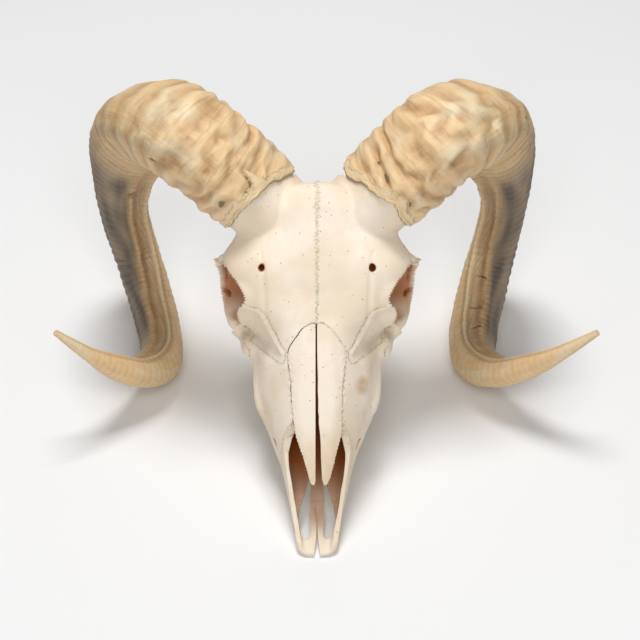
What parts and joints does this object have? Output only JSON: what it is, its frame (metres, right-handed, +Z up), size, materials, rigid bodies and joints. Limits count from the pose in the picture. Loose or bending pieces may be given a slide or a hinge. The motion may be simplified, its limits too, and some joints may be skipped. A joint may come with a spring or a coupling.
{
  "type": "ram skull",
  "caption": "Cleaned ram skull without lower jaw, parted into its bones, with both curled horn sheaths, resting on nose and horn curls.",
  "frame": {"origin": "middle of the model's bounding box, on the table it rests on", "axes": "+Z up from the table, +Y from the nose tip towards the back of the skull, +X towards the animal's left"},
  "size_m": [0.373, 0.2846, 0.2331],
  "materials": {
    "bone": "dry cleaned bone, matte, slightly porous",
    "horn": "ridged horn sheath, satin, weathered"
  },
  "bodies": {
    "root": {"braincase": "bone", "nasal_left": "bone", "nasal_right": "bone", "frontal_left": "bone", "frontal_right": "bone", "lacrimal_left": "bone", "lacrimal_right": "bone", "cheekbone_left": "bone", "cheekbone_right": "bone", "premaxilla_left": "bone", "premaxilla_right": "bone", "maxilla_left": "bone", "maxilla_right": "bone", "horn_left": "horn", "horn_right": "horn"}
  },
  "joints": []
}
